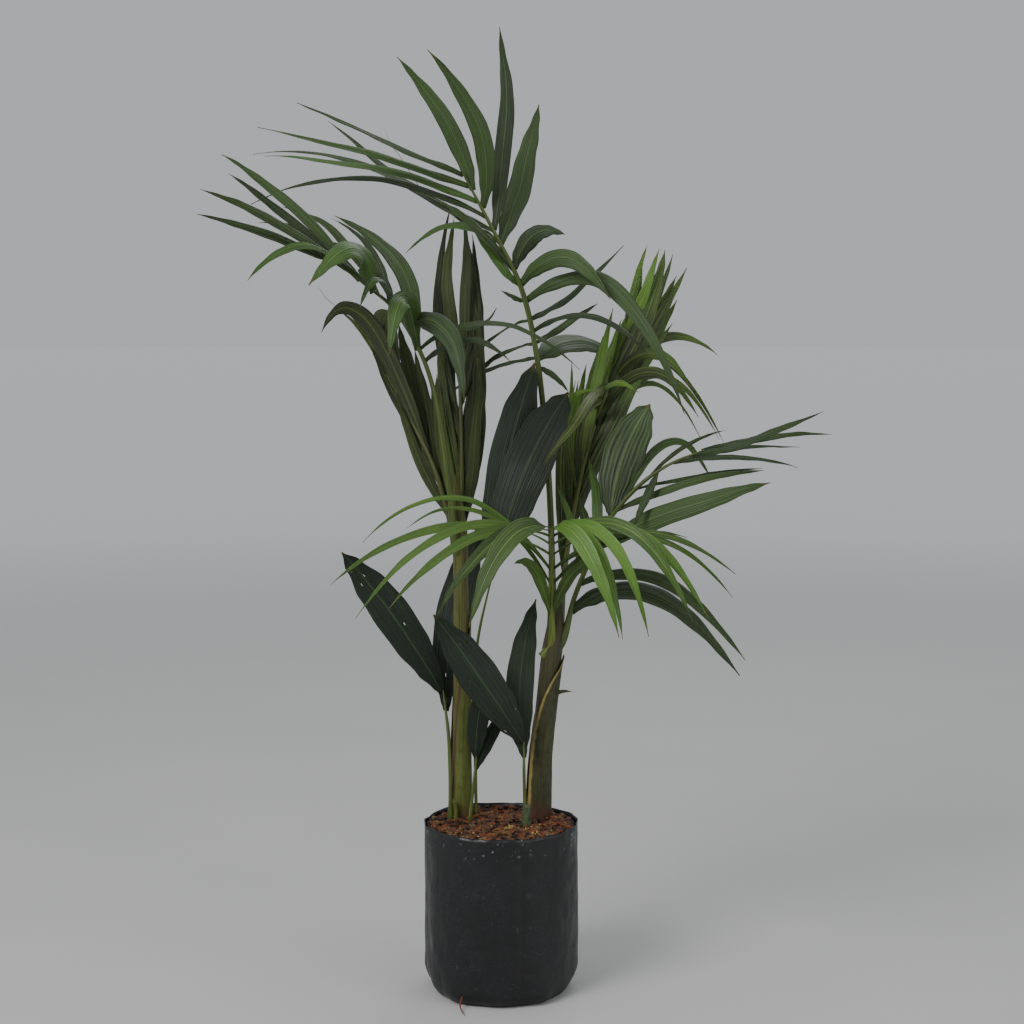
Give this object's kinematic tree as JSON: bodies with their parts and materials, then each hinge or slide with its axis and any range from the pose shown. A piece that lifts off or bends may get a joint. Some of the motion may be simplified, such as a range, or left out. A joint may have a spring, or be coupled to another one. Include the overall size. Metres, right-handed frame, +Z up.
{
  "type": "potted palm",
  "caption": "Two young feather palms with arching fronds and two-lobed seedling leaves, growing in a soft black planter bag of bark mix that stands on the floor.",
  "frame": {"origin": "middle of the bag's flat bottom, on the surface that it stands on", "axes": "+Z up along the stems, +X to the right and -Y toward the show side, where the low front frond arches out"},
  "size_m": [0.7334, 0.4413, 1.1441],
  "materials": {
    "planter_bag": "thin black polythene film, dusty, slightly wrinkled, with punched drain holes",
    "potting_mix": "loose reddish brown bark chips with pale fertiliser grains",
    "stem": "olive green rolled leaf bases with brown edges, satin",
    "dry_sheath": "dry fibrous leaf base, matte brown",
    "mature_leaf": "leathery dark green blade, semi-gloss above and duller below",
    "young_leaf": "fresh mid green blade with fine pleats, semi-gloss",
    "seedling_leaf": "broad pleated dark green blade, satin, with small pale marks"
  },
  "bodies": {
    "root": {"planter_bag": "planter_bag", "potting_mix": "potting_mix", "left_stem": "stem", "right_stem": "stem", "left_outer_sheath": "dry_sheath", "right_outer_sheath": "dry_sheath", "arching_frond": "mature_leaf", "hooked_frond": "mature_leaf", "left_new_frond": "young_leaf", "tall_frond": "mature_leaf", "right_new_frond": "young_leaf", "front_frond": "young_leaf", "side_frond": "mature_leaf", "dark_bifid_leaf": "seedling_leaf", "left_bifid_leaf": "seedling_leaf", "middle_bifid_leaf": "seedling_leaf", "small_bifid_leaf": "seedling_leaf", "dry_stub": "dry_sheath", "green_stub": "stem", "stem_bract": "dry_sheath"}
  },
  "joints": []
}
